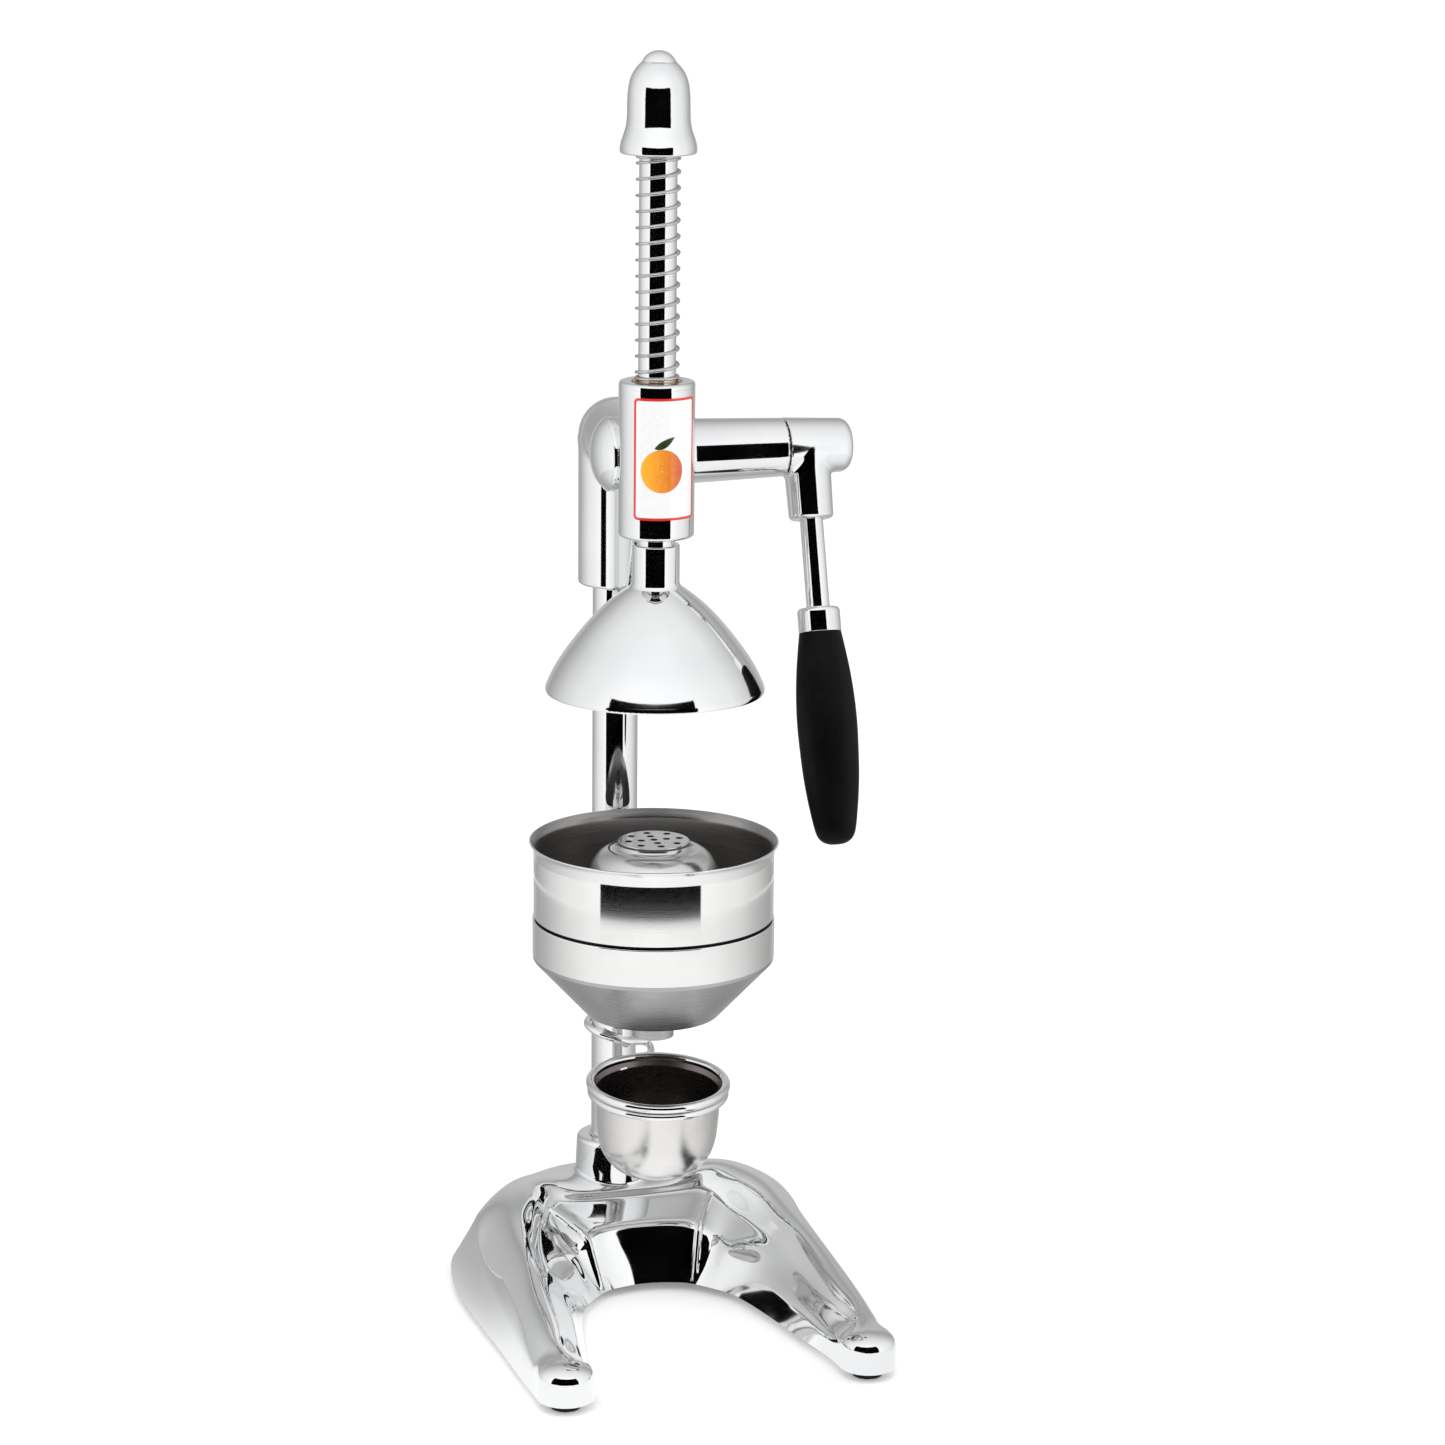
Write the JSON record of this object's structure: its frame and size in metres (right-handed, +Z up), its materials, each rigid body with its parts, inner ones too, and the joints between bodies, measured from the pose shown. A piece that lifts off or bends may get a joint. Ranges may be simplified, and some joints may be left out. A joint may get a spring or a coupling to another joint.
{
  "type": "lever citrus press",
  "caption": "Tall chromed lever citrus press: ram with pressing cone, strainer cup with reamer, funnel, swing-away drip bowl and arched base.",
  "frame": {"origin": "on the surface the rubber feet stand on, straight under the axis of the pressing ram", "axes": "+Z up along the ram, +X towards the lever's side, +Y from the ram towards the column at the back"},
  "size_m": [0.2149, 0.2585, 0.6778],
  "materials": {
    "chrome": "mirror plated, turned parts",
    "chrome_casting": "mirror plated casting with soft edges",
    "satin_steel": "satin spun stainless",
    "steel": "bright machined",
    "bronze": "machined bearing bronze",
    "label_foil": "printed foil: thin red border and an orange fruit disc, no lettering",
    "black_grip": "matte black",
    "black_rubber": "matte black"
  },
  "bodies": {
    "body": {"base": "chrome_casting", "rubber_feet": "black_rubber", "foot_screws": "steel", "column": "chrome", "column_bolt": "steel", "column_washer": "steel", "base_set_screw": "steel", "cup_bracket": "chrome", "bracket_screw": "steel", "bracket_rivets": "steel", "funnel": "chrome", "head_casting": "chrome_casting", "head_set_screws": "steel", "ram_bush_lower": "bronze", "ram_bush_upper": "bronze", "shaft_bush_left": "bronze", "shaft_bush_right": "bronze", "end_cap": "chrome", "label": "label_foil", "return_spring": "steel"},
    "ram": {"ram": "chrome", "press_cone": "chrome", "cone_bolt": "steel", "ram_cap": "chrome", "cap_nut": "chrome"},
    "lever": {"pinion_shaft": "steel", "pinion": "steel", "pinion_pin": "steel", "thrust_washer": "bronze", "retaining_ring": "steel", "lever_hub": "chrome", "hub_screw": "steel", "lever_rod": "chrome", "ferrule": "chrome", "grip": "black_grip"},
    "strainer": {"strainer_cup": "satin_steel", "reamer": "satin_steel"},
    "holder": {"bowl_holder": "chrome"},
    "bowl": {"drip_bowl": "satin_steel"}
  },
  "joints": [
    {"name": "lever_turn", "type": "hinge", "parent": "body", "child": "lever", "pos_m": [0, 0.022, 0.4668], "axis": [1, 0, 0], "range_deg": [0, 335]},
    {"name": "ram_slide", "type": "slide", "parent": "body", "child": "ram", "axis": [0, 0, -1], "range_m": [0, 0.0878], "stiffness_N_per_m": 350, "springref_m": -0.12, "deforming": ["return_spring"]},
    {"name": "strainer_lift", "type": "slide", "parent": "body", "child": "strainer", "axis": [0, 0, 1], "range_m": [0, 0.015]},
    {"name": "holder_swing", "type": "hinge", "parent": "body", "child": "holder", "pos_m": [0, 0.08, 0], "axis": [0, 0, 1], "range_deg": [-110, 110]},
    {"name": "bowl_lift", "type": "slide", "parent": "holder", "child": "bowl", "axis": [0, -0.0769, 0.997], "range_m": [0, 0.02]}
  ],
  "couplings": [
    {"joint": "ram_slide", "follows": "lever_turn", "m_per_rad": 0.015}
  ]
}
